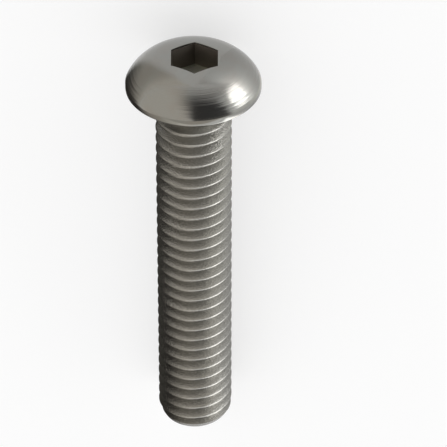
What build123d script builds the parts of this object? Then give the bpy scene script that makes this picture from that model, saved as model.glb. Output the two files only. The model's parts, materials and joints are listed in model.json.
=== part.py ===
from build123d import *

import os
from math import asin, atan2, ceil, cos, degrees, floor, radians, tan

# Button head socket cap screw, 3/8-16 UNC x 2 in, of stainless steel, made from one piece.
# It is drawn upright first: the axis is Z, the underside of the head is z = 0 and the shank hangs below.
# Then it is laid on its side, as it comes to rest on the rim of its head and the end of its thread.
# All sizes are in millimetres.

# Shank
LENGTH = 50.3               # from the underside of the head to the tip
TIP_DIAMETER = 8.1          # the flat end, inside the chamfer
TIP_CHAMFER_ANGLE = 27.5    # between the chamfer and the axis
NECK_DIAMETER = 8.29        # plain part under the head, left at the size that the thread is rolled from
NECK_LENGTH = 2.2
NECK_FLARE = 0.4            # small cone between the neck and the underside of the head

# Thread, right-handed, with one start
THREAD_DIAMETER = 9.32      # over the crests, a little under the nominal 3/8 in
PITCH = 1.5875              # 16 turns to the inch
FLANK_ANGLE = 30            # between a flank and the plane across the axis
CREST_WIDTH = 0.2           # flat along the crests, an eighth of the pitch
ROOT_WIDTH = 0.26           # flat along the roots, a sixth of the pitch
CREST_HEIGHT = -3.84        # middle of the first crest, on the side that lies uppermost
RUN_OUT_ANGLE = 45          # between the axis and the cone on which the crests end under the head
ROOT_RISE_ANGLE = 15        # between the axis and the cone on which the roots rise to the neck
FACETS = 20                 # flat steps that stand for one turn

# Head
HEAD_DIAMETER = 16.44
RIM_HEIGHT = 0.79           # the upright band round the edge of the head
RIM_EDGE = 0.15             # bevel of the rim at the underside
CROWN_HEIGHT = 4.75         # from the underside to where the crown would peak, over the socket
CROWN_RADIUS = 14.2
CROWN_REACH = 4.83          # distance from the axis at which the crown turns down towards the rim

# Hexagon socket
SOCKET_WIDTH = 5.6          # across the flats, for a 7/32 in key
SOCKET_DEPTH = 3.55         # from the peak of the crown to the foot of the walls' corners
SOCKET_DROP = 0.4           # how much lower the middle of the floor is, where the punch was pointed

head_radius = HEAD_DIAMETER / 2
neck_radius = NECK_DIAMETER / 2
crest_radius = THREAD_DIAMETER / 2
tip_radius = TIP_DIAMETER / 2
chamfer_start = (crest_radius - tip_radius) / tan(radians(TIP_CHAMFER_ANGLE)) - LENGTH
flank = (PITCH - CREST_WIDTH - ROOT_WIDTH) / 2
root_radius = crest_radius - flank / tan(radians(FLANK_ANGLE))
turn_step = 360 / FACETS
rise_step = PITCH / FACETS


def spun(*points):
    """The closed outline through these points, spun about the axis."""
    return revolve(make_face(Plane.XZ * Polyline(*points, close=True)), axis=Axis.Z)


def flat(*corners):
    return Face(Wire.make_polygon(corners))


def along_helix(step, points):
    """Where points of the thread's profile come to after so many steps up the helix."""
    turned = [point.rotate(Axis.Z, turn_step * step) for point in points]
    return [point + Vector(0, 0, rise_step * step) for point in turned]


def one_step(profile):
    """Flat faces over one step: the crest and the root are parallelograms, each flank two triangles."""
    here = along_helix(-0.5, profile)
    there = along_helix(0.5, profile)
    root, lower, crest, upper = [
        (here[i], here[i + 1], there[i + 1], there[i]) for i in range(len(profile) - 1)
    ]
    faces = [flat(*root), flat(*crest)]
    for near, far, far_next, near_next in (lower, upper):
        faces += [flat(near, far, far_next), flat(near, far_next, near_next)]
    return faces


def end_cap(profile):
    """Closes an end of the helix: a fan under the root's edge through one turn, and the profile itself."""
    centre = Vector(0, 0, profile[0].Z)
    edge = [along_helix(step - 0.5, profile[:1])[0] for step in range(FACETS + 1)]
    start = along_helix(-0.5, profile)
    middle = Vector(0, 0, start[0].Z)
    fan = [flat(middle, *pair) for pair in zip(edge, edge[1:])]
    return fan + [flat(middle, *start)]


def threaded_rod():
    """A right-handed helix of flat facets, from below the tip up into the neck, made into one solid."""
    half_crest = CREST_WIDTH / 2
    profile = [
        Vector(root_radius, 0, -PITCH + half_crest + flank),
        Vector(root_radius, 0, -half_crest - flank),
        Vector(crest_radius, 0, -half_crest),
        Vector(crest_radius, 0, half_crest),
        Vector(root_radius, 0, half_crest + flank),
    ]
    turns_below = ceil((LENGTH + CREST_HEIGHT) / PITCH) + 2
    turns = turns_below + 2
    bottom = CREST_HEIGHT - PITCH / 2 - PITCH * turns_below
    step_faces = one_step(profile)
    cap = end_cap(profile)
    faces = []
    for step in range(turns * FACETS):
        place = Pos(0, 0, bottom + rise_step * step) * Rot(0, 0, turn_step * step)
        faces += [place * face for face in step_faces]
    for end in (0, turns * PITCH):
        faces += [Pos(0, 0, bottom + end) * face for face in cap]
    return Solid(Shell(faces))


def shank():
    """The rod, turned down to a chamfered tip and to the cone on which the crests end under the head."""
    clear = crest_radius + PITCH
    blank = spun(
        (0, -LENGTH),
        (tip_radius, -LENGTH),
        (clear, -LENGTH + (clear - tip_radius) / tan(radians(TIP_CHAMFER_ANGLE))),
        (clear, -NECK_LENGTH - (clear - neck_radius) / tan(radians(RUN_OUT_ANGLE))),
        (neck_radius, -NECK_LENGTH),
        (0, -NECK_LENGTH),
    )
    return threaded_rod() & blank


def head_and_neck():
    """One outline spun about the axis, from the crown down to the cone that the roots rise on."""
    crown_angle = degrees(asin(CROWN_REACH / CROWN_RADIUS))
    crown = JernArc((0, CROWN_HEIGHT), (1, 0), CROWN_RADIUS, -crown_angle)
    shoulder = TangentArc(crown @ 1, (head_radius, RIM_HEIGHT), tangent=crown % 1)
    inside_root = root_radius * 0.95
    root_rise = (neck_radius - inside_root) / tan(radians(ROOT_RISE_ANGLE))
    below = Polyline(
        (head_radius, RIM_HEIGHT),
        (head_radius, RIM_EDGE),
        (head_radius - RIM_EDGE, 0),
        (neck_radius + NECK_FLARE, 0),
        (neck_radius, -NECK_FLARE),
        (neck_radius, -NECK_LENGTH),
        (inside_root, -NECK_LENGTH - root_rise),
        (0, -NECK_LENGTH - root_rise),
        (0, CROWN_HEIGHT),
    )
    return revolve(Plane.XZ * make_face(crown + shoulder + below), axis=Axis.Z)


def socket():
    """What the hexagonal punch pushes out: a prism, two corners of it on the X axis, with a blunt point."""
    corner_radius = SOCKET_WIDTH / 2 / cos(radians(30))
    point = CROWN_HEIGHT - SOCKET_DEPTH - SOCKET_DROP
    hexagon = RegularPolygon(SOCKET_WIDTH / 2, 6, major_radius=False)
    prism = extrude(Pos(0, 0, point) * hexagon, CROWN_HEIGHT - point)
    bullet = spun(
        (0, point),
        (2 * corner_radius, point + 2 * SOCKET_DROP),
        (2 * corner_radius, CROWN_HEIGHT),
        (0, CROWN_HEIGHT),
    )
    return prism & bullet


def resting_tilt():
    """How far the axis rises towards the head when the rim and the last whole crest touch the ground."""
    lowest_side = CREST_HEIGHT - PITCH / 2 + CREST_WIDTH / 2
    crests = floor((lowest_side - chamfer_start) / PITCH)
    last_crest = max(lowest_side - PITCH * crests - CREST_WIDTH, chamfer_start)
    return degrees(atan2(head_radius - crest_radius, RIM_EDGE - last_crest))


def lay_down(screw):
    """Turn the head end towards +X, rising by the resting tilt, then centre the screw over the origin."""
    lying = Rot(0, 90 - resting_tilt(), 0) * screw
    box = lying.bounding_box()
    return Pos(-box.center().X, -box.center().Y, -box.min.Z) * lying


screw = lay_down(head_and_neck() + shank() - socket())

os.makedirs("parts", exist_ok=True)
export_step(screw, "parts/button_head_screw.step")
print("tilt", resting_tilt(), "box", screw.bounding_box())
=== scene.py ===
# %% [markdown]
# A button head screw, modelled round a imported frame.
#
# The real thing is one piece of stainless steel. A blank is headed in a die, which gives the low dome,
# and a hexagonal punch makes the socket. Then the shank is rolled between two grooved dies, which press
# the thread into it. There is no seam and no second part anywhere.
#
# So this scene holds one mesh for the screw. It is built upright, in millimetres, because that is how
# such a screw is drawn: the axis is Z and the underside of the head is at height 0. Only the last step
# makes it metres and lays it down where the frame says it lies.

import json
from math import cos, pi, radians, sin, sqrt, tan

import bmesh
import bpy
from mathutils import Matrix, Vector


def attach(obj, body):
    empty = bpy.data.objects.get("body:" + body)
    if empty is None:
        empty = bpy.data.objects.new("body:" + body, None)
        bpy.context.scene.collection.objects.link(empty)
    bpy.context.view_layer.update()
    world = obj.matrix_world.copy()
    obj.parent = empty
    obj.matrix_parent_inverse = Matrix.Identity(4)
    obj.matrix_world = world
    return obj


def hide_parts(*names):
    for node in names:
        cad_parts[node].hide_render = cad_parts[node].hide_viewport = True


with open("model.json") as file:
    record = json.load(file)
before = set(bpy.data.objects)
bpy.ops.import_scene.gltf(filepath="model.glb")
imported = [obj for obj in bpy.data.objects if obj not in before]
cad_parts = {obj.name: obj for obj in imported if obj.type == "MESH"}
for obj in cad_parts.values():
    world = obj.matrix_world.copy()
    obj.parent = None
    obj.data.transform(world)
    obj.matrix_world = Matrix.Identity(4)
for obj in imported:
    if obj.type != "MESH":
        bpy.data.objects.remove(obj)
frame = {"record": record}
bpy.context.view_layer.update()

# %% [markdown]
# The sizes. A unified coarse thread of 3/8 in has 16 turns to the inch, and all its other sizes follow
# from that: flanks 60 degrees apart, a flat crest an eighth of the pitch wide and a depth of about 0.61
# pitches. The rest are the head's own sizes.

# %% Sizes, in millimetres
MM = 0.001
SAME_PLACE = 1e-4           # points that are closer than this are one point

LENGTH = 50.3               # from the underside of the head to the tip
THREAD_DIAMETER = 9.30      # over the crests, a little under the nominal 3/8 in
PITCH = 25.4 / 16
FLANK_ANGLE = 30            # between a flank and the plane across the axis
CREST_WIDTH = PITCH / 8
THREAD_DEPTH = 0.6134 * PITCH
TIP_DIAMETER = 8.1
TIP_CHAMFER_ANGLE = 27.5    # between the chamfer and the axis
CREST_FACING_UP = -3.84     # height of the first whole crest on the side that lies uppermost

NECK_DIAMETER = 8.29        # left at the size that the thread is rolled from
NECK_FILLET = 0.4
NECK_END = -1.9             # the neck is plain down to here
THREAD_WHOLE = -3.3         # and the thread has its full depth from here on

HEAD_DIAMETER = 16.44
RIM_HEIGHT = 0.79           # the upright band round the edge of the head
RIM_EDGE = 0.15             # rounding of the rim at the underside
CROWN_HEIGHT = 4.75         # to where the crown would peak, over the socket
CROWN_RADIUS = 14.2
CROWN_REACH = 4.83          # distance from the axis at which the crown turns down towards the rim

SOCKET_WIDTH = 5.6          # across the flats, for a 7/32 in key
SOCKET_DEPTH = 3.55         # from the peak of the crown to the foot of the walls
SOCKET_DROP = 0.4           # how much lower the middle of the floor is
SOCKET_LIP = 0.04           # rounding that the punch leaves round the mouth
SOCKET_MIDDLE = (-0.17, -0.144)    # the punch met the blank this far off its axis

crest_radius = THREAD_DIAMETER / 2
root_radius = crest_radius - THREAD_DEPTH
flank_rise = THREAD_DEPTH * tan(radians(FLANK_ANGLE))
neck_radius = NECK_DIAMETER / 2
head_radius = HEAD_DIAMETER / 2
print("thread depth", round(THREAD_DEPTH, 3), "root diameter", round(2 * root_radius, 3))

# %% [markdown]
# The thread. A thread is a helix, and Blender's spin can make one: besides turning a profile about an
# axis, it moves it on by a small vector at every step. The Screw modifier could do the same, but with
# spin the profile and the turns stay together in one mesh, ready for the next operators.
#
# The profile is one pitch of the groove, from the middle of one root to the middle of the next. Its
# corners are rounded with a bevel on vertices, since rolling dies leave no sharp corner.

# %% One pitch of the thread's profile
STEPS_PER_TURN = 96
ROOT_ROUNDING = 0.11
CREST_ROUNDING = 0.02


def polyline(bm, points):
    """Vertices in the XZ plane at (radius, height), joined by edges in their order."""
    verts = [bm.verts.new((radius, 0, height)) for radius, height in points]
    edges = [bm.edges.new(pair) for pair in zip(verts, verts[1:])]
    return verts, edges


def round_corners(bm, radius, offset, segments):
    """Rounds the profile's corners that lie at this radius. Its two ends stay as they are."""
    corners = [v for v in bm.verts if abs(v.co.x - radius) < SAME_PLACE and len(v.link_edges) == 2]
    bmesh.ops.bevel(
        bm, geom=corners, offset=offset, segments=segments, profile=0.5, affect="VERTICES", material=-1
    )


def thread_profile(bm):
    polyline(
        bm,
        [
            (root_radius, -PITCH / 2),
            (root_radius, -CREST_WIDTH / 2 - flank_rise),
            (crest_radius, -CREST_WIDTH / 2),
            (crest_radius, CREST_WIDTH / 2),
            (root_radius, CREST_WIDTH / 2 + flank_rise),
            (root_radius, PITCH / 2),
        ],
    )
    round_corners(bm, root_radius, ROOT_ROUNDING, segments=3)
    round_corners(bm, crest_radius, CREST_ROUNDING, segments=2)
    flanks = [edge for edge in bm.edges if edge.calc_length() > THREAD_DEPTH / 2]
    bmesh.ops.subdivide_edges(bm, edges=flanks, cuts=2)


bm = bmesh.new()
thread_profile(bm)
print("profile", len(bm.verts), "vertices", len(bm.edges), "edges")

# %% One turn of the helix, then a stack of turns
SPARE_TURNS_BELOW = 2       # both ends are cut to length later
SPARE_TURNS_ABOVE = 3

crest_at_start = CREST_FACING_UP - PITCH / 2    # the profile starts on the side that lies underneath
turns_below = int((LENGTH + crest_at_start) / PITCH) + SPARE_TURNS_BELOW
turns = turns_below + SPARE_TURNS_ABOVE
bmesh.ops.translate(bm, verts=bm.verts, vec=(0, 0, crest_at_start - turns_below * PITCH))
bmesh.ops.spin(
    bm,
    geom=bm.verts[:] + bm.edges[:],
    axis=(0, 0, 1),
    cent=(0, 0, 0),
    dvec=(0, 0, PITCH / STEPS_PER_TURN),
    angle=2 * pi,
    steps=STEPS_PER_TURN,
)
one_turn = bm.verts[:] + bm.edges[:] + bm.faces[:]
for turn in range(1, turns):
    copy = bmesh.ops.duplicate(bm, geom=one_turn)["geom"]
    copied_verts = [part for part in copy if isinstance(part, bmesh.types.BMVert)]
    bmesh.ops.translate(bm, verts=copied_verts, vec=(0, 0, turn * PITCH))
bmesh.ops.remove_doubles(bm, verts=bm.verts, dist=SAME_PLACE)
heights = [vert.co.z for vert in bm.verts]
print("turns", turns, "faces", len(bm.faces), "heights", round(min(heights), 2), round(max(heights), 2))

# %% [markdown]
# Under the head the thread runs out. The dies stop a little below the head, and over almost a turn the
# groove gets shallower and the crest lower, until both are at the size of the blank. A short loop moves
# the vertices for that: it is a plain rule on radius and height, and no operator knows it. A cut with a
# plane then leaves a clean circle for the neck to start from. At the other end a cut just below the tip
# is closed too, and leaves a solid rod for the next step.

# %% Cuts across the axis
CUT_CLEARANCE = 1e-5        # points that are closer than this to a cut are taken to lie on it


def cut_square(bm, height, keep):
    """Cuts everything beyond this height away. keep is -1 for what is below it and 1 for what is above."""
    bmesh.ops.bisect_plane(
        bm,
        geom=bm.verts[:] + bm.edges[:] + bm.faces[:],
        dist=CUT_CLEARANCE,
        plane_co=(0, 0, height),
        plane_no=(0, 0, -keep),
        clear_outer=True,
    )


def rim_at(bm, height):
    """The open edges that lie at this height."""
    return [e for e in bm.edges if e.is_boundary and all(abs(v.co.z - height) < SAME_PLACE for v in e.verts)]


print("open edges before the cuts", sum(edge.is_boundary for edge in bm.edges))


# %% Run-out, and the two ends cut square
def shallower(height):
    """How far the thread has run out at this height: 0 where it is whole, 1 at the neck."""
    share = min(1, max(0, (height - THREAD_WHOLE) / (NECK_END - THREAD_WHOLE)))
    return share * share * (3 - 2 * share)


for vert in bm.verts:
    vert.co.xy *= 1 + shallower(vert.co.z) * (neck_radius / vert.co.xy.length - 1)
below_tip = -LENGTH - PITCH / 3
cut_square(bm, NECK_END, -1)
cut_square(bm, below_tip, 1)
for height in (NECK_END, below_tip):
    bmesh.ops.contextual_create(bm, geom=rim_at(bm, height))
bmesh.ops.recalc_face_normals(bm, faces=bm.faces)
print("open edges", sum(e.is_boundary for e in bm.edges), "volume", round(bm.calc_volume(), 1), "mm3")

# %% [markdown]
# The tip. The end of a screw is chamfered before the thread is rolled, so that a nut starts easily. The
# chamfer's cone cuts through crests and flanks, which makes a curved edge that no bevel gives. It is a
# common volume: the thread and a plain blank with the chamfer, spun from its outline. The Boolean
# modifier finds it.

# %% The plain blank, chamfered
BLANK_STEPS = 192
BLANK_CLEARANCE = 0.5       # how far the blank stands out beyond the crests


def spin_full(bm, geom, steps):
    bmesh.ops.spin(bm, geom=geom, axis=(0, 0, 1), cent=(0, 0, 0), angle=2 * pi, steps=steps, use_merge=True)


def new_object(name, bm):
    mesh = bpy.data.meshes.new(name)
    bm.to_mesh(mesh)
    bm.free()
    made = bpy.data.objects.new(name, mesh)
    bpy.context.scene.collection.objects.link(made)
    return made


def blank():
    bm = bmesh.new()
    tip_radius = TIP_DIAMETER / 2
    clear = crest_radius + BLANK_CLEARANCE
    chamfer_top = -LENGTH + (clear - tip_radius) / tan(radians(TIP_CHAMFER_ANGLE))
    verts, edges = polyline(
        bm, [(0, -LENGTH), (tip_radius, -LENGTH), (clear, chamfer_top), (clear, 0), (0, 0)]
    )
    spin_full(bm, verts + edges, BLANK_STEPS)
    bmesh.ops.remove_doubles(bm, verts=bm.verts, dist=SAME_PLACE)
    bmesh.ops.recalc_face_normals(bm, faces=bm.faces)
    return new_object("blank", bm)


plain_blank = blank()
print("blank", len(plain_blank.data.polygons), "faces")

# %% The chamfered tip, where rod and blank overlap
threaded_rod = new_object("threaded_rod", bm)
common = threaded_rod.modifiers.new("tip", "BOOLEAN")
common.operation = "INTERSECT"
common.solver = "EXACT"
common.object = plain_blank
tipped = bpy.data.meshes.new_from_object(threaded_rod.evaluated_get(bpy.context.evaluated_depsgraph_get()))
for spent in (threaded_rod, plain_blank):
    bpy.data.objects.remove(spent)
bm = bmesh.new()
bm.from_mesh(tipped)
print("threaded rod", len(bm.faces), "faces, open edges", sum(edge.is_boundary for edge in bm.edges))

# %% [markdown]
# The head. Seen from the side, its outline is a run of short straight lines and arcs: the neck, a
# fillet, the flat underside, the upright rim, a tight shoulder and then the wide crown. The straight
# parts are points joined by edges. An arc is a single vertex, spun about the arc's centre, which leaves
# a trail of edges. The outline is spun about the screw's axis, and it ends in an open ring, where the
# socket's mouth will join.

# %% The head's outline
HEAD_STEPS = 144
NECK_START = NECK_END + 0.2
RIM_CORNER = 0.05           # rounding between the rim and the shoulder
SHOULDER_STEPS = 18
CROWN_STEPS = 5
RING_RADIUS = 4.0           # where the spun crown ends and the socket's surroundings start

crown_centre = CROWN_HEIGHT - CROWN_RADIUS


def crown_height(radius):
    return crown_centre + sqrt(CROWN_RADIUS**2 - radius**2)


def shoulder_centre():
    """The centre of the arc that leaves the crown without a corner and comes down on the rim."""
    outward = Vector((CROWN_REACH, crown_height(CROWN_REACH) - crown_centre)) / CROWN_RADIUS
    start = Vector((CROWN_REACH, crown_height(CROWN_REACH)))
    across = Vector((head_radius, RIM_HEIGHT)) - start
    radius = -across.length_squared / (2 * across.dot(outward))
    return start - radius * outward


print("crown's centre at", round(crown_centre, 2), "shoulder's at", [round(v, 2) for v in shoulder_centre()])


# %% Arcs and rounded corners in the outline
def arc(bm, start, centre, end, steps):
    """Spins the vertex start about a centre, in the XZ plane, until it lies in the direction of end."""
    hub = Vector((centre[0], 0, centre[1]))
    from_hub = start.co - hub
    to_hub = Vector((end[0], 0, end[1])) - hub
    angle = from_hub.angle(to_hub) * (1 if from_hub.cross(to_hub).y > 0 else -1)
    spun = bmesh.ops.spin(bm, geom=[start], axis=(0, 1, 0), cent=hub, angle=angle, steps=steps)
    return spun["geom_last"][0]


def round_at(bm, radius, height, offset, segments):
    """Rounds the outline's corner at this radius and height."""
    corner = min(bm.verts, key=lambda v: (v.co - Vector((radius, 0, height))).length)
    bmesh.ops.bevel(
        bm, geom=[corner], offset=offset, segments=segments, profile=0.5, affect="VERTICES", material=-1
    )


# %% The outline, spun about the axis
head = bmesh.new()
verts, edges = polyline(
    head,
    [
        (neck_radius, NECK_START),
        (neck_radius, 0),
        (head_radius, 0),
        (head_radius, RIM_HEIGHT),
    ],
)
shoulder_end = arc(
    head, verts[-1], shoulder_centre(), (CROWN_REACH, crown_height(CROWN_REACH)), SHOULDER_STEPS
)
arc(head, shoulder_end, (0, crown_centre), (RING_RADIUS, crown_height(RING_RADIUS)), CROWN_STEPS)
round_at(head, neck_radius, 0, NECK_FILLET, segments=5)
round_at(head, head_radius, 0, RIM_EDGE, segments=4)
round_at(head, head_radius, RIM_HEIGHT, RIM_CORNER, segments=2)
spin_full(head, head.verts[:] + head.edges[:], HEAD_STEPS)
bmesh.ops.remove_doubles(head, verts=head.verts, dist=SAME_PLACE)
print("head", len(head.faces), "faces, widest", round(2 * max(v.co.x for v in head.verts), 3))

# %% [markdown]
# The socket. Its mouth is a hexagon on a dome. A Boolean would cut it too, but it would leave ragged
# faces right where the light shows them. Here the hexagon gets as many points as the ring round it, and
# the two are bridged, so the faces run neatly from six corners out to a circle. The points in between
# are lifted onto the crown.
#
# The walls go straight down to a shallow cone, which the point of the punch leaves, and the edge of the
# mouth gets a very small bevel: it is what glints along the rim of a real socket.

# %% The hexagon, bridged to the ring
MOUTH_CUTS = 3              # rings of points between the hexagon and the circle

corner_radius = SOCKET_WIDTH / 2 / cos(radians(30))
wall_foot = CROWN_HEIGHT - SOCKET_DEPTH
floor_middle = wall_foot - SOCKET_DROP


def onto_crown(verts):
    for vert in verts:
        vert.co.z = crown_height(vert.co.xy.length)


ring = rim_at(head, crown_height(RING_RADIUS))
hexagon = bmesh.ops.create_circle(head, segments=6, radius=corner_radius)["verts"]
bmesh.ops.rotate(head, verts=hexagon, cent=(0, 0, 0), matrix=Matrix.Rotation(radians(30), 3, "Z"))
bmesh.ops.translate(head, verts=hexagon, vec=(*SOCKET_MIDDLE, 0))
sides = list({edge for vert in hexagon for edge in vert.link_edges})
bmesh.ops.subdivide_edges(head, edges=sides, cuts=HEAD_STEPS // 6 - 1)
mouth = [edge for edge in head.edges if edge.is_wire]
onto_crown({vert for edge in mouth for vert in edge.verts})
print("ring", len(ring), "edges, mouth", len(mouth), "edges")
bridge = bmesh.ops.bridge_loops(head, edges=ring + mouth)
between = bmesh.ops.subdivide_edges(head, edges=bridge["edges"], cuts=MOUTH_CUTS)["geom_inner"]
onto_crown(part for part in between if isinstance(part, bmesh.types.BMVert))
print("round the mouth", len(bridge["faces"]), "bridges, cut into", MOUTH_CUTS + 1)


# %% Walls and floor
def floor_height(radius):
    return floor_middle + SOCKET_DROP * radius / corner_radius


def extrude_ring(bm, edges, scale):
    """Extrudes a loop of edges, shrinks it towards the socket's middle and puts it on the floor's cone."""
    grown = bmesh.ops.extrude_edge_only(bm, edges=edges)["geom"]
    for vert in grown:
        if isinstance(vert, bmesh.types.BMVert):
            from_middle = (vert.co.xy - Vector(SOCKET_MIDDLE)) * scale
            vert.co = (*(from_middle + Vector(SOCKET_MIDDLE)), floor_height(from_middle.length))
    return [part for part in grown if isinstance(part, bmesh.types.BMEdge)]


def open_above(bm, height):
    return [edge for edge in bm.edges if edge.is_boundary and min(v.co.z for v in edge.verts) > height]


foot = extrude_ring(head, open_above(head, wall_foot), 1)
halfway = extrude_ring(head, foot, 0.5)
extrude_ring(head, halfway, 0)
bmesh.ops.remove_doubles(head, verts=head.verts, dist=SAME_PLACE)
bmesh.ops.recalc_face_normals(head, faces=head.faces)
print("socket", len(foot), "edges round its foot, which is at", round(wall_foot, 2))

# %% The lip of the mouth
LIP_ANGLE = 70              # only the lip is sharper than this at this height

lip = [
    edge
    for edge in head.edges
    if edge.is_manifold
    and edge.calc_face_angle() > radians(LIP_ANGLE)
    and min(v.co.z for v in edge.verts) > (wall_foot + CROWN_HEIGHT) / 2
]
bmesh.ops.bevel(head, geom=lip, offset=SOCKET_LIP, segments=2, profile=0.5, affect="EDGES", material=-1)
print("lip", len(lip), "edges, open edges", sum(edge.is_boundary for edge in head.edges))

# %% [markdown]
# One piece. The rod loses the flat face at its upper end, and its open circle and the neck's are
# bridged. The two circles have different numbers of points, which bridging takes care of.

# %% Rod and head joined
upper_end = [face for face in bm.faces if min(v.co.z for v in face.verts) > NECK_END - SAME_PLACE]
bmesh.ops.delete(bm, geom=upper_end, context="FACES_ONLY")
head_mesh = bpy.data.meshes.new("head")
head.to_mesh(head_mesh)
head.free()
bm.from_mesh(head_mesh)
bmesh.ops.bridge_loops(bm, edges=rim_at(bm, NECK_END) + rim_at(bm, NECK_START))
bmesh.ops.recalc_face_normals(bm, faces=bm.faces)
open_edges = sum(edge.is_boundary for edge in bm.edges)
print("screw", len(bm.faces), "faces, open edges", open_edges, "volume", round(bm.calc_volume(), 1), "mm3")

# %% [markdown]
# Laid down. The frame's record says where the underside of the head is and which way it faces, as the
# place and the axis of the mount that bears on a plate. The screw's own axis is the opposite direction.
# The turn has to go into the mesh itself, so that the object stays at the origin.

# %% From upright millimetres to where the frame has it
SMOOTH_BELOW = 35           # faces that meet at less than this angle are shaded as one surface

bearing = next(mount for mount in frame["record"]["mounts"] if mount["name"] == "bearing_face")
under_head = Vector(bearing["pos_m"])
towards_head = -Vector(bearing["axis"]).normalized()
downwards = Vector((towards_head.z, 0, -towards_head.x))   # the side that lies underneath
sideways = Vector((0, 1, 0))
place = Matrix.Translation(under_head) @ Matrix((downwards, sideways, towards_head)).transposed().to_4x4()
bmesh.ops.transform(bm, matrix=place @ Matrix.Scale(MM, 4), verts=bm.verts)

screw = new_object("threaded_screw", bm)
screw.data.shade_smooth()
screw.data.set_sharp_from_angle(angle=radians(SMOOTH_BELOW))
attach(screw, "root")
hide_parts("button_head_screw")
print("triangles", sum(len(face.vertices) - 2 for face in screw.data.polygons))

# %% [markdown]
# The camera. It looks down on the side that lies uppermost, and far enough round the head to see into
# the socket, so the dome, the socket and the whole thread show at once. A long lens from nearly half a
# metre keeps the turns of the thread almost parallel. The screw's own axis runs upwards in the view.

# %% Camera
CAMERA_ELEVATION = 37.4     # degrees above the plane of the head's underside
CAMERA_DISTANCE = 458.6     # all in millimetres
CAMERA_LENS = 298.2
LOOK_AT_SIDE = 3.62         # what it looks at, from the middle of the head's underside
LOOK_AT_HEIGHT = -20.73
CAMERA_CLIP = 10

elevation = radians(CAMERA_ELEVATION)
side = Vector((0, -1, 0))
out = -downwards
towards_camera = out * cos(elevation) + towards_head * sin(elevation)
up = towards_head * cos(elevation) - out * sin(elevation)
look_at = under_head + (side * LOOK_AT_SIDE + towards_head * LOOK_AT_HEIGHT) * MM
camera = bpy.data.objects.new("camera", bpy.data.cameras.new("camera"))
bpy.context.scene.collection.objects.link(camera)
camera.data.lens = CAMERA_LENS
camera.data.clip_start = CAMERA_CLIP * MM
camera.matrix_world = (
    Matrix.Translation(look_at + towards_camera * CAMERA_DISTANCE * MM)
    @ Matrix((side, up, towards_camera)).transposed().to_4x4()
)
bpy.context.scene.camera = camera
print("camera at", [round(v, 3) for v in camera.matrix_world.translation])

# %% [markdown]
# Shader maths in Python. A procedural material is mostly arithmetic on coordinates, and that reads
# better as expressions than as a page of node wiring. A Signal stands for what comes out of a socket,
# and each operator on it adds the Math node that it needs. Every other kind of node comes from one
# method, which takes the node's type, its settings and what goes into its sockets.

# %% Signals
class Signal:
    """A value or a colour that comes out of a node's socket."""

    def __init__(self, nodes, socket):
        self.nodes, self.socket = nodes, socket

    def output(self, name):
        """Another output of the same node."""
        return Signal(self.nodes, self.socket.node.outputs[name])

    def math(self, operation, *operands):
        return self.nodes.add("ShaderNodeMath", {"operation": operation}, dict(enumerate(operands)))

    def __add__(self, other):
        return self.math("ADD", self, other)

    def __radd__(self, other):
        return self.math("ADD", other, self)

    def __sub__(self, other):
        return self.math("SUBTRACT", self, other)

    def __rsub__(self, other):
        return self.math("SUBTRACT", other, self)

    def __mul__(self, other):
        return self.math("MULTIPLY", self, other)

    def __rmul__(self, other):
        return self.math("MULTIPLY", other, self)

    def __gt__(self, other):
        return self.math("GREATER_THAN", self, other)


# %% One method for every other node
class Nodes:
    """The node tree of a material or of the world."""

    def __init__(self, owner):
        owner.use_nodes = True
        self.tree = owner.node_tree

    def add(self, kind, settings={}, inputs={}, output=0):
        node = self.tree.nodes.new(kind)
        for name, value in settings.items():
            setattr(node, name, value)
        self.connect(node, inputs)
        return Signal(self, node.outputs[output])

    def connect(self, node, inputs):
        for name, value in inputs.items():
            if isinstance(value, Signal):
                self.tree.links.new(value.socket, node.inputs[name])
            else:
                node.inputs[name].default_value = value

    def surface(self, inputs):
        """Sets sockets of the Principled BSDF that every new material has."""
        self.connect(self.tree.nodes["Principled BSDF"], inputs)

    def step(self, value, start, end):
        """0 before start, 1 after end, and a smooth rise between them; it falls where end is the smaller."""
        if end < start:
            return 1 - self.step(value, end, start)
        return self.add(
            "ShaderNodeMapRange",
            {"interpolation_type": "SMOOTHSTEP"},
            {"Value": value, "From Min": start, "From Max": end},
        )

    def noise(self, dimensions, inputs):
        return self.add("ShaderNodeTexNoise", {"noise_dimensions": dimensions}, inputs)

    def apart(self, vector):
        """The three coordinates of a vector."""
        x = self.add("ShaderNodeSeparateXYZ", inputs={0: vector})
        return x, x.output("Y"), x.output("Z")

    def dot(self, vector, other):
        return self.add("ShaderNodeVectorMath", {"operation": "DOT_PRODUCT"}, {0: vector, 1: other}, "Value")

    def distance(self, vector, place):
        return self.add("ShaderNodeVectorMath", {"operation": "DISTANCE"}, {0: vector, 1: place}, "Value")

    def mix(self, share, first, second):
        """A colour between two colours; share 0 is the first."""
        return self.add("ShaderNodeMix", {"data_type": "RGBA"}, {0: share, 6: first, 7: second}, 2)

    def light(self, value):
        """White light of this strength, which may be above 1."""
        return self.add("ShaderNodeCombineXYZ", inputs={0: value, 1: value, 2: value})


# %% [markdown]
# The steel. It is one metal everywhere, but it was worked in three ways. The dome is smooth, and only
# towards its edge do fine rings round the axis remain. The thread was rolled, which leaves the flanks a
# little rougher and grainy. The socket was punched, which leaves it rougher. Its shade is painted into
# its colour: darker and browner walls as painted shade, and a lighter floor as painted light from the
# mouth.
#
# One material does for all of it, since they are told apart by where a point is on the upright screw. So
# the first node turns the Object coordinates back into the millimetres that the mesh was drawn in.

# %% Where a point is on the upright screw
steel = bpy.data.materials.new("stainless")
nodes = Nodes(steel)

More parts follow.
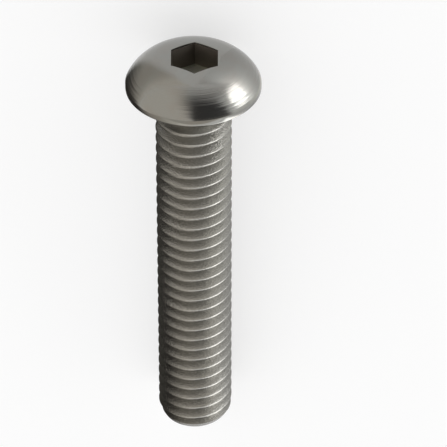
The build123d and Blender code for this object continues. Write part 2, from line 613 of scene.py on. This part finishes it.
location, turn, scale = (place @ Matrix.Scale(MM, 4)).inverted().decompose()
upright = nodes.add(
    "ShaderNodeMapping",
    inputs={
        "Vector": nodes.add("ShaderNodeTexCoord", output="Object"),
        "Location": location,
        "Rotation": turn.to_euler(),
        "Scale": scale,
    },
)
x, y, height = nodes.apart(upright)
from_axis = nodes.add("ShaderNodeMath", {"operation": "SQRT"}, {0: x * x + y * y})
print("steel", len(nodes.tree.nodes), "nodes so far")

# %% [markdown]
# Masks. Each is 1 where one kind of work was done, or over the socket, whose shade is painted, and 0
# elsewhere, with a soft edge, and is made from the height on the screw and the distance from its axis.
# The end of the screw was cut off and not rolled, so the grain stops just short of it, and it comes in
# only where the dies began to press the thread.

# %% Masks in millimetres
SOFT_EDGE = 0.1
GRAIN_COMES_IN = 0.6        # over this much of the run-out
END_FACE_EDGE = 0.02
SOCKET_STARTS_BELOW = 4.32           # the socket's painted shade and its roughness start just inside the lip
SOCKET_WITHIN = 3.45          # distance from the axis that takes in the whole socket
RINGS_START = 5.3           # distances from the axis
RINGS_FULL = 6.3

on_shank = nodes.step(height, 0, -SOFT_EDGE)
below_neck = nodes.step(height, NECK_END, NECK_END - GRAIN_COMES_IN)
above_end = nodes.step(height, -LENGTH + END_FACE_EDGE, -LENGTH + SOFT_EDGE)
rolled = below_neck * above_end
down_the_mouth = nodes.step(height, SOCKET_STARTS_BELOW, SOCKET_STARTS_BELOW - SOFT_EDGE) * (height > 0)
in_socket = down_the_mouth * nodes.step(from_axis, SOCKET_WITHIN, SOCKET_WITHIN - SOFT_EDGE)
on_socket_floor = nodes.step(height, wall_foot + SOFT_EDGE, wall_foot)
turned = nodes.step(from_axis, RINGS_START, RINGS_FULL) * (1 - on_shank)
print("steel", len(nodes.tree.nodes), "nodes so far")

# %% [markdown]
# Patterns. Rings round an axis are a noise with one dimension, read with the distance from the axis. The
# rolled metal's grain is a noise in three dimensions, about five grains to the millimetre. A slow one,
# with clouds of about three millimetres, is for the slightly uneven colour of the dome.

# %% Rings, grain and cloud
rings = nodes.noise("1D", {"W": from_axis, "Scale": 3.4, "Detail": 3, "Roughness": 0.65})
grain = nodes.noise("3D", {"Vector": upright, "Scale": 5, "Detail": 2, "Roughness": 0.7})
cloud = nodes.noise("3D", {"Vector": upright, "Scale": 0.35, "Detail": 3, "Roughness": 0.6})
print("steel", len(nodes.tree.nodes), "nodes so far")

# %% [markdown]
# Colours and relief. Bare metal shows only what it mirrors, so its Base Color is the share of the light
# that it gives back: about a quarter where it is dull, and a third on the bright grain of the thread.
# Rings and grain are also felt, some hundredths of a millimetre deep at most. That is too fine to be
# modelled, so it goes to a Bump node, which turns the mirror image a little from place to place.

# %% Colour
DOME_STEEL = (0.268, 0.268, 0.251, 1)
DOME_STEEL_WARM = (0.266, 0.258, 0.239, 1)
THREAD_STEEL = (0.33, 0.323, 0.301, 1)
THREAD_STEEL_DULL = (0.25, 0.245, 0.228, 1)
# The socket's colours are painted light: shade on its walls, and light from the mouth on its floor.
SOCKET_SHADE = (0.2, 0.178, 0.155, 1)
SOCKET_FLOOR_LIGHT = (0.38, 0.382, 0.325, 1)
CLOUD_RANGE = (0.4, 0.62)   # from all dome steel to all warm
GRAIN_RANGE = (0.32, 0.68)  # from all dull to all bright
UNROLLED_CONTRAST = 0.2     # how much of the grain's contrast the neck and the end face have

dome_color = nodes.mix(nodes.step(cloud, *CLOUD_RANGE), DOME_STEEL, DOME_STEEL_WARM)
contrast = UNROLLED_CONTRAST + (1 - UNROLLED_CONTRAST) * rolled
bright_grain = 0.5 + contrast * (nodes.step(grain, *GRAIN_RANGE) - 0.5)
thread_color = nodes.mix(bright_grain, THREAD_STEEL_DULL, THREAD_STEEL)
worked_color = nodes.mix(on_shank, dome_color, thread_color)
# Painted shade in the socket, and painted light on its floor.
socket_shade_color = nodes.mix(on_socket_floor, SOCKET_SHADE, SOCKET_FLOOR_LIGHT)
steel_color = nodes.mix(in_socket, worked_color, socket_shade_color)
print("steel", len(nodes.tree.nodes), "nodes so far")

# %% Roughness and relief
DOME_ROUGHNESS = 0.17
THREAD_ROUGHER = 0.05
SOCKET_ROUGHER = 0.3
RELIEF_UNIT = 1e-5          # metres
RING_RELIEF = 4
GRAIN_RELIEF = 1.2
ROLLED_RELIEF = 4           # what rolling adds, as a multiple of the plain grain

roughness = DOME_ROUGHNESS + THREAD_ROUGHER * on_shank + SOCKET_ROUGHER * in_socket
relief = turned * rings * RING_RELIEF + (on_shank + ROLLED_RELIEF * rolled) * grain * GRAIN_RELIEF
bump = nodes.add("ShaderNodeBump", inputs={"Height": relief, "Distance": RELIEF_UNIT, "Strength": 1})
nodes.surface({"Base Color": steel_color, "Metallic": 1, "Roughness": roughness, "Normal": bump})
screw.data.materials.append(steel)
print("steel", len(nodes.tree.nodes), "nodes")

# %% [markdown]
# The floor is matt and pale. Some of its white is added for the camera and for what metal mirrors,
# instead of brighter lamps, so it looks white and its own shading still keeps the soft shadow.

# %% Floor
FLOOR_WHITE = (0.42, 0.42, 0.42, 1)
FLOOR_GLOW = 0.6
FLOOR_REACH = 2             # metres from the middle to each side

floor_mesh = bmesh.new()
bmesh.ops.create_grid(floor_mesh, x_segments=1, y_segments=1, size=FLOOR_REACH)
floor = new_object("floor", floor_mesh)
paper = bpy.data.materials.new("white paper")
nodes = Nodes(paper)
light_path = nodes.add("ShaderNodeLightPath", output="Is Camera Ray")
seen = light_path + light_path.output("Is Glossy Ray") + light_path.output("Is Transmission Ray")
nodes.surface({"Base Color": FLOOR_WHITE, "Roughness": 1, "Specular IOR Level": 0})
nodes.surface({"Emission Color": seen * FLOOR_GLOW, "Emission Strength": 1})
floor.data.materials.append(paper)
print("floor", [round(v, 2) for v in floor.dimensions], "m")

# %% [markdown]
# The world. What polished metal looks like is decided by what stands round it. A studio for small
# hardware is a white tent, and what interrupts its white draws the form: the grey coat and the dark
# shape of the person at the camera, which shows as a dark patch low on the dome, and a window low on one
# side. All of it is painted on the world, by direction, so none of it can get in the way of a view. What
# metal mirrors on its left is a little warmer; the light that falls on the floor is not.

# %% Directions
studio = bpy.data.worlds.new("studio")
bpy.context.scene.world = studio
nodes = Nodes(studio)
direction = nodes.add("ShaderNodeTexCoord", output="Generated")
ahead, aside, sine = nodes.apart(direction)     # sine is that of the elevation
azimuth = aside.math("ARCTAN2", aside, ahead)


def turning(start, end):
    """Rises from 0 at one azimuth to 1 at another, in degrees."""
    return nodes.step(azimuth, radians(start), radians(end))


def rising(start, end):
    """Rises from 0 at one elevation to 1 at another, in degrees."""
    return nodes.step(sine, sin(radians(start)), sin(radians(end)))


def lobe(azimuth, elevation, inner, outer):
    """1 within the inner angle of this direction, 0 beyond the outer angle; all in degrees."""
    azimuth, elevation = radians(azimuth), radians(elevation)
    centre = (cos(elevation) * cos(azimuth), cos(elevation) * sin(azimuth), sin(elevation))
    return nodes.step(nodes.dot(direction, centre), cos(radians(outer)), cos(radians(inner)))


print("world", len(nodes.tree.nodes), "nodes so far")

# %% The tent and what interrupts it
WHITE = (1, 1, 1, 1)
WARM = (1, 0.95, 0.88, 1)
TENT = 0.99
TENT_BEHIND = 0.3           # how much brighter it is behind the tip of the screw
COAT = 0.5                  # light that it takes from the tent's
PHOTOGRAPHER = 0.92         # share of all light that is blocked
WINDOW = 0.3                # light that it adds

tent = TENT + TENT_BEHIND * nodes.step(ahead, 0.1, -0.5)
coat = COAT * rising(-25, 28) * rising(44, 26) * turning(-46, -30) * turning(28, -2)
photographer = PHOTOGRAPHER * rising(23, 35) * turning(-102, -92) * turning(34, -6)
window = WINDOW * lobe(azimuth=-100, elevation=20, inner=5, outer=50)
strength = (tent - coat + window) * (1 - photographer)
metal_sees = nodes.add("ShaderNodeLightPath", output="Is Glossy Ray")
on_the_left = metal_sees * nodes.step(aside, -0.1, 0.3)
nodes.connect(
    nodes.tree.nodes["Background"], {"Color": nodes.mix(on_the_left, WHITE, WARM), "Strength": strength}
)
print("world", len(nodes.tree.nodes), "nodes")

# %% [markdown]
# Sheets. The world is infinitely far away, so the dome and the shank mirror the same of it. What stands
# close to the screw is mirrored by one of them at a time, and that is how lamps, white cards and black
# flags are used round small shiny things.
#
# Here each is a flat sheet that only mirrors see: the camera doesn't, it lights nothing and it casts no
# shadow. Its light is worked out from where a point is on the sheet, in metres, since a sheet's Object
# coordinates are the world's. So one function takes the sheet's shape and a function for its light.

# %% How a sheet is made
BLACK = (0, 0, 0, 1)


def mirrored_sheet(name, sheet, glow, cover=None):
    """Makes a sheet that shows in mirrors only.

    glow(nodes, point) gives the colour of its light at a point. cover(nodes, point), where it is given,
    falls from 1 to 0 where the sheet fades out into what lies behind it.
    """
    made = new_object(name, sheet)
    surface = bpy.data.materials.new(name)
    nodes = Nodes(surface)
    point = nodes.add("ShaderNodeTexCoord", output="Object")
    nodes.surface({"Base Color": BLACK, "Specular IOR Level": 0})
    nodes.surface({"Emission Color": glow(nodes, point), "Emission Strength": 1})
    if cover:
        nodes.surface({"Alpha": cover(nodes, point)})
    made.data.materials.append(surface)
    made.visible_camera = made.visible_diffuse = made.visible_shadow = False
    print(name, [round(v, 3) for v in made.dimensions], "m,", len(nodes.tree.nodes), "nodes")


# %% [markdown]
# The round lamp gives the dome its one bright spot. A convex mirror shows a lamp where its surface faces
# halfway between the lamp and the camera, so the lamp's centre is found from the spot and a direction.
# It is a disc, as a small softbox is, with a soft rim. It also brightens the floor below it, and the
# metal mirrors that too.

# %% Round lamp
LAMP_SPOT = Vector((24.8, -5.2, 12.5)) * MM     # the place on the dome that mirrors the lamp
LAMP_AZIMUTH = -62
LAMP_DISTANCE = 0.060
LAMP_RADIUS = 0.0225
LAMP_SOFT_FROM = 0.85       # share of the radius
LAMP_LIGHT = 4.2
LAMP_RIM_LIGHT = 0.9

towards_lamp = Vector((cos(radians(LAMP_AZIMUTH)), sin(radians(LAMP_AZIMUTH)), 0))
lamp_centre = LAMP_SPOT + towards_lamp * LAMP_DISTANCE


def lamp_glow(nodes, point):
    inside = nodes.step(nodes.distance(point, lamp_centre), LAMP_RADIUS, LAMP_RADIUS * LAMP_SOFT_FROM)
    return nodes.light(LAMP_RIM_LIGHT + LAMP_LIGHT * inside)


lamp = bmesh.new()
bmesh.ops.create_circle(lamp, cap_ends=True, segments=48, radius=LAMP_RADIUS)
facing_screw = towards_lamp.to_track_quat("Z", "Y").to_matrix().to_4x4()
bmesh.ops.transform(lamp, matrix=Matrix.Translation(lamp_centre) @ facing_screw, verts=lamp.verts)
mirrored_sheet("round lamp", lamp, lamp_glow)

# %% The floor below the lamp
ON_FLOOR = 0.0002           # metres, just above the floor
LIT_FLOOR_REACH = 0.062     # from the lamp's foot
LIT_FLOOR_LIGHT = 2.0
FLOOR_LIGHT = 0.74


def flat_sheet(xs, ys, z):
    """Lies between two x and two y, in metres."""
    bm = bmesh.new()
    bmesh.ops.create_grid(bm, x_segments=1, y_segments=1, size=0.5)
    bmesh.ops.scale(bm, vec=(xs[1] - xs[0], ys[1] - ys[0], 1), verts=bm.verts)
    bmesh.ops.translate(bm, vec=(sum(xs) / 2, sum(ys) / 2, z), verts=bm.verts)
    return bm


lamp_foot = Vector((lamp_centre.x, lamp_centre.y, 0))


def lit_floor_glow(nodes, point):
    from_foot = nodes.distance(point, lamp_foot)
    return nodes.light(FLOOR_LIGHT + LIT_FLOOR_LIGHT * nodes.step(from_foot, LIT_FLOOR_REACH, 0))


lit_floor = flat_sheet(xs=(-0.03, 0.12), ys=(-0.13, -0.006), z=ON_FLOOR)
mirrored_sheet("bright floor", lit_floor, lit_floor_glow)

# %% [markdown]
# The black flag lies on the floor at the other side of the screw. The dome mirrors it along its left
# edge, which gets dark there and stands out from the white behind it. The flag's own edges must not draw
# lines on the dome, so its black fades with distance, and the whole sheet fades out at its border. In
# front of the head it is pale.

# %% Black flag
FLAG_BLACK = (0.035, 0.033, 0.03, 1)
FLAG_PALE = (0.95, 0.91, 0.84, 1)
BLACK_FADES = (0.2, 0.004)          # y between which the black comes in
PALE_BESIDE_HEAD = (0.021, 0.033)   # x between which most of it gives way to pale
PALE_BEYOND = (0.034, 0.075)        # and the rest
BESIDE_HEAD_SHARE = 0.62
NEAR_BORDER = (0.0085, 0.0125)      # y or x between which the sheet itself comes in
FAR_BORDER = (0.38, 0.2)
FRONT_BORDER = (0.38, 0.1)
BACK_BORDER = (-0.38, -0.1)


def flag_glow(nodes, point):
    along, away, _ = nodes.apart(point)
    beside_head = BESIDE_HEAD_SHARE * nodes.step(along, *PALE_BESIDE_HEAD)
    pale = beside_head + (1 - BESIDE_HEAD_SHARE) * nodes.step(along, *PALE_BEYOND)
    return nodes.mix((1 - pale) * nodes.step(away, *BLACK_FADES), FLAG_PALE, FLAG_BLACK)


def flag_cover(nodes, point):
    along, away, _ = nodes.apart(point)
    sideways = nodes.step(away, *NEAR_BORDER) * nodes.step(away, *FAR_BORDER)
    return sideways * nodes.step(along, *FRONT_BORDER) * nodes.step(along, *BACK_BORDER)


flag = flat_sheet(xs=(-0.4, 0.4), ys=(0.0085, 0.4), z=ON_FLOOR)
mirrored_sheet("black flag", flag, flag_glow, flag_cover)

# %% [markdown]
# Cards across the shank. The flank of a thread that faces the head mirrors what stands in front of it,
# which would be the whole bright studio. Cards make that darker, and here they are a grey one above and
# a pale one low on the right. They stand behind the head's underside, so the crown of the dome can't see
# them.

# %% Front card and low card
CARDS_AT = 0.022            # x, just behind the head
FRONT_CARD_GREY = (0.74, 0.7, 0.64, 1)
LOW_CARD_WHITE = (1.2, 1.2, 1.15, 1)


def sheet_across(x, ys, zs):
    """Stands across the screw's length, between two y and two z, in metres."""
    bm = flat_sheet((-zs[1], -zs[0]), ys, 0)
    bmesh.ops.rotate(bm, verts=bm.verts, matrix=Matrix.Rotation(radians(90), 3, "Y"))
    bmesh.ops.translate(bm, verts=bm.verts, vec=(x, 0, 0))
    return bm


def even(color):
    """The same light all over a sheet."""
    return lambda nodes, point: color


front_card = sheet_across(CARDS_AT, ys=(-0.03, 0.025), zs=(0.017, 0.07))
low_card = sheet_across(CARDS_AT, ys=(-0.04, -0.0095), zs=(0.0003, 0.017))
mirrored_sheet("front card", front_card, even(FRONT_CARD_GREY))
mirrored_sheet("low card", low_card, even(LOW_CARD_WHITE))

# %% [markdown]
# The dark side. A shank looks round when one of its sides falls off into dark. Its left side mirrors a
# card that is dark low down, grey at the height of the screw and pale at the top, and a painted shadow:
# a dark strip on the floor right under the rod, which only mirrors see.

# %% Side card and the painted shadow under the rod
SIDE_CARD_DARK = (0.04, 0.037, 0.034, 1)
SIDE_CARD_GREY = (0.63, 0.593, 0.535, 1)
SIDE_CARD_PALE = (1.0, 0.95, 0.87, 1)
DARK_TO_GREY = (0.004, 0.021)       # z
GREY_TO_PALE = (0.02, 0.045)
# The colour of the painted shadow under the rod.
ROD_SHADOW_DARK = (0.1, 0.096, 0.086, 1)


def sheet_along(y, xs, zs):
    """Stands along the screw's length, between two x and two z, in metres."""
    bm = flat_sheet(xs, zs, 0)
    bmesh.ops.rotate(bm, verts=bm.verts, matrix=Matrix.Rotation(radians(90), 3, "X"))
    bmesh.ops.translate(bm, verts=bm.verts, vec=(0, y, 0))
    return bm


def side_card_glow(nodes, point):
    _, _, above = nodes.apart(point)
    low = nodes.mix(nodes.step(above, *DARK_TO_GREY), SIDE_CARD_DARK, SIDE_CARD_GREY)
    return nodes.mix(nodes.step(above, *GREY_TO_PALE), low, SIDE_CARD_PALE)


side_card = sheet_along(0.025, xs=(-0.08, 0.012), zs=(0.0003, 0.06))
# A painted shadow: a dark strip on the floor under the rod, which only mirrors see.
rod_shadow = flat_sheet(xs=(-0.04, 0.0205), ys=(0.003, 0.013), z=ON_FLOOR + 0.0001)
mirrored_sheet("side card", side_card, side_card_glow)
mirrored_sheet("painted shadow under the rod", rod_shadow, even(ROD_SHADOW_DARK))

# %% [markdown]
# The bright side. A tall window in a pale wall gives the thread the bright band down its right side. The
# rim of the head mirrors the same wall, but nearer to the head, so the pane ends well before the head
# does and leaves the rim only a short glint.

# %% Side window
WALL_LIGHT = 0.95
PANE_LIGHT = 3.5
PANE_SIDE = (0.003, -0.002)         # x between which the pane comes in
PANE_TOP = (0.034, 0.028)           # z
PANE_FOOT = (-0.002, 0.016)


def window_glow(nodes, point):
    along, _, above = nodes.apart(point)
    pane = nodes.step(along, *PANE_SIDE) * nodes.step(above, *PANE_TOP) * nodes.step(above, *PANE_FOOT)
    return nodes.light(WALL_LIGHT + PANE_LIGHT * pane)


side_window = sheet_along(-0.030, xs=(-0.11, 0.0219), zs=(0.0003, 0.037))
mirrored_sheet("side window", side_window, window_glow)

# %% [markdown]
# The last step. The plain view transform shows colours as they are written.

# %% View
bpy.context.scene.view_settings.view_transform = "Standard"
